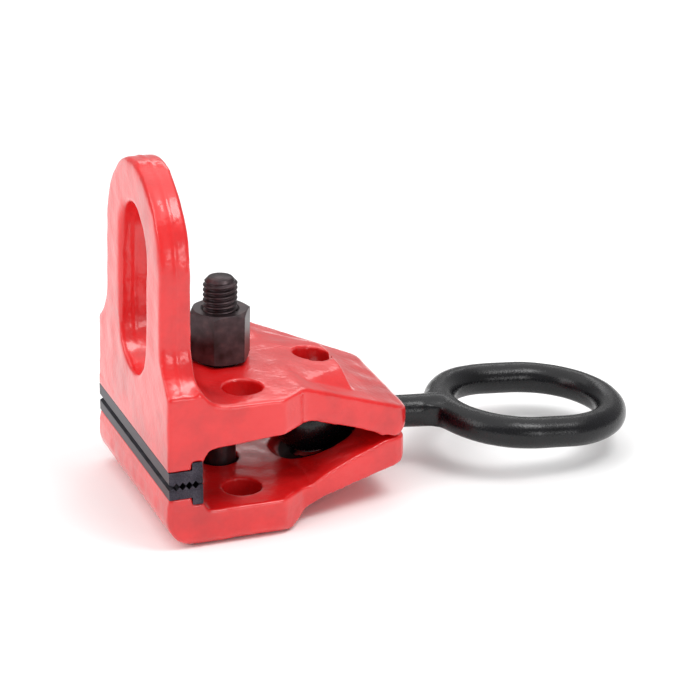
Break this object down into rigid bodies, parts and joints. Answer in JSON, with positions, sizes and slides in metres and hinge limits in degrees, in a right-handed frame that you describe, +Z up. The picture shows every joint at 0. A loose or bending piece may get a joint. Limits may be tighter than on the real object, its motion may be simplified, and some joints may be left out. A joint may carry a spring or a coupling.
{
  "type": "two-way pull clamp",
  "caption": "Pull clamp with hinged toothed jaws, an upright pull eye, a clamp bolt with a tall nut and a ball-ended pull ring held between the jaws.",
  "frame": {"origin": "centre of the bounding box in plan, on the flat base of the lower jaw", "axes": "+X from the toothed front towards the pull ring, +Y across the jaws, +Z up through the pull eye"},
  "size_m": [0.2519, 0.1144, 0.1713],
  "materials": {
    "red_enamel": "gloss red enamel over forged steel",
    "tooth_steel": "hardened dark steel",
    "black_oxide": "black oxide, worn bright on the corners",
    "black_powder": "black powder coat, satin"
  },
  "bodies": {
    "lower": {"lower_jaw": "red_enamel", "lower_insert": "tooth_steel", "lower_pins": "tooth_steel"},
    "upper": {"upper_jaw": "red_enamel", "upper_insert": "tooth_steel", "upper_pins": "tooth_steel"},
    "bolt": {"clamp_bolt": "black_oxide"},
    "nut": {"clamp_nut": "black_oxide"},
    "ring": {"pull_ring": "black_powder"}
  },
  "joints": [
    {"name": "jaw_open", "type": "hinge", "parent": "lower", "child": "upper", "pos_m": [-0.00614, 0, 0.03745], "axis": [0, 1, 0], "range_deg": [0, 7]},
    {"name": "bolt_lean", "type": "hinge", "parent": "lower", "child": "bolt", "pos_m": [-0.08288, 0, 0.0071], "axis": [0, 1, 0], "range_deg": [0, 3.5]},
    {"name": "nut_travel", "type": "slide", "parent": "bolt", "child": "nut", "axis": [0.0237, 0, 0.9997], "range_m": [0, 0.0097]},
    {"name": "ring_turn", "type": "hinge", "parent": "lower", "child": "ring", "pos_m": [-0.03763, 0, 0.0326], "axis": [0.9957, 0, -0.0924], "continuous": true}
  ],
  "couplings": [
    {"joint": "bolt_lean", "follows": "jaw_open", "ratio": 0.5},
    {"joint": "nut_travel", "follows": "jaw_open", "m_per_rad": 0.079}
  ]
}
